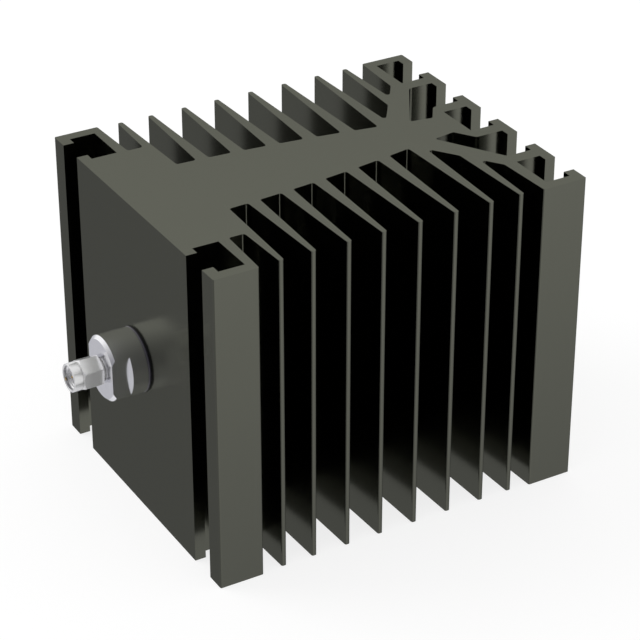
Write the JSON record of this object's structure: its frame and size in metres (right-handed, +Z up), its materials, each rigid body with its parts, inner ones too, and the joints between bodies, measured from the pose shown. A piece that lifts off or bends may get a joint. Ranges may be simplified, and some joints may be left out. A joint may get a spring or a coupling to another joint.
{
  "type": "rf dummy load",
  "caption": "Coaxial RF power load: a black finned heatsink extrusion with T-slots and a screwed-in load cartridge ending in a miniature threaded coaxial plug.",
  "frame": {"origin": "the middle of the heatsink's underside, the cut end it stands on", "axes": "+Z up along the extrusion, -Y towards the coaxial plug, +X to the right seen from behind the plug looking along +Y"},
  "size_m": [0.1, 0.1414, 0.1],
  "materials": {
    "anodised_aluminium": "black anodised, satin",
    "black_rubber": "matt",
    "polished_steel": "polished, passivated",
    "nickel_brass": "nickel plated, polished",
    "gold_contact": "gold plated",
    "silicone": "matt",
    "ptfe": "smooth, white",
    "amber_plastic": "machined",
    "spring_steel": "bright",
    "bronze_contact": "silver plated bronze",
    "ceramic": "film on ceramic",
    "silver_cap": "silver plated",
    "plain_brass": "machined"
  },
  "bodies": {
    "load": {"heatsink": "anodised_aluminium", "sealing_ring": "black_rubber", "load_body": "nickel_brass", "connector_body": "polished_steel", "connector_insulator": "ptfe", "centre_pin": "gold_contact", "retaining_ring": "bronze_contact", "nut_gasket": "silicone", "inner_conductor": "gold_contact", "support_bead": "amber_plastic", "front_collet": "bronze_contact", "front_cap": "silver_cap", "resistor_rod": "ceramic", "rear_cap": "silver_cap", "matching_sleeve": "plain_brass", "ground_collet": "bronze_contact", "disc_spring": "spring_steel", "end_plug": "plain_brass"},
    "nut": {"coupling_nut": "polished_steel"}
  },
  "joints": [
    {"name": "nut_turn", "type": "hinge", "parent": "load", "child": "nut", "pos_m": [0, -0.076, 0.05], "axis": [0, -1, 0], "continuous": true}
  ]
}
